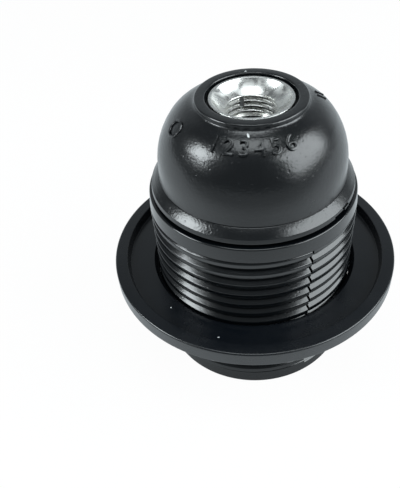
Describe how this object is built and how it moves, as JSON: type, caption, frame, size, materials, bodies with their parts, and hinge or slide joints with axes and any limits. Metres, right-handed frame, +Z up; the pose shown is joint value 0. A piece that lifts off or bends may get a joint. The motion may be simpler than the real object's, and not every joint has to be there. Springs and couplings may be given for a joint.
{
  "type": "lamp holder",
  "caption": "Screw-base lamp holder: domed cap with a threaded metal entry, a barrel with a full outer thread, and a flanged shade ring that runs on it.",
  "frame": {"origin": "centre of the barrel's mouth rim, on the plane the holder stands on", "axes": "+Z up the axis from the mouth to the metal entry, -Y to the front"},
  "size_m": [0.0576, 0.0576, 0.0556],
  "materials": {
    "phenolic_black": "glossy moulded black phenolic",
    "phenolic_block": "matt moulded dark brown phenolic",
    "entry_metal": "bright machined light alloy",
    "brass": "plain brass",
    "steel": "zinc-plated steel"
  },
  "bodies": {
    "holder": {"barrel": "phenolic_black"},
    "ring": {"shade_ring": "phenolic_black"},
    "contact_unit": {"contact_block": "phenolic_block", "rivet_centre": "brass", "rivet_side": "brass", "centre_contact": "brass", "side_contact": "brass", "terminal_left": "brass", "terminal_right": "brass", "terminal_screw_left": "steel", "terminal_screw_right": "steel"},
    "centre_spring": {"centre_tongue": "brass"},
    "cap": {"cap_dome": "phenolic_black", "entry_bush": "entry_metal", "entry_lock_screw": "steel", "earth_tag": "brass", "earth_screw": "steel", "latch": "steel"}
  },
  "joints": [
    {"name": "block_turn", "type": "hinge", "parent": "holder", "child": "contact_unit", "pos_m": [0, 0, 0.0301], "axis": [0, 0, 1], "range_deg": [0, 900]},
    {"name": "cap_lift", "type": "slide", "parent": "contact_unit", "child": "cap", "axis": [0, 0, 1], "range_m": [0, 0.0063]},
    {"name": "ring_travel", "type": "slide", "parent": "holder", "child": "ring", "axis": [0, 0, 1], "range_m": [-0.013, 0.014]},
    {"name": "tongue_flex", "type": "hinge", "parent": "contact_unit", "child": "centre_spring", "pos_m": [-0.00289, 0, 0.02839], "axis": [0, -1, 0], "range_deg": [0, 14], "stiffness_Nm_per_rad": 0.04}
  ],
  "couplings": [
    {"joint": "cap_lift", "follows": "block_turn", "m_per_rad": 0.00039789}
  ]
}
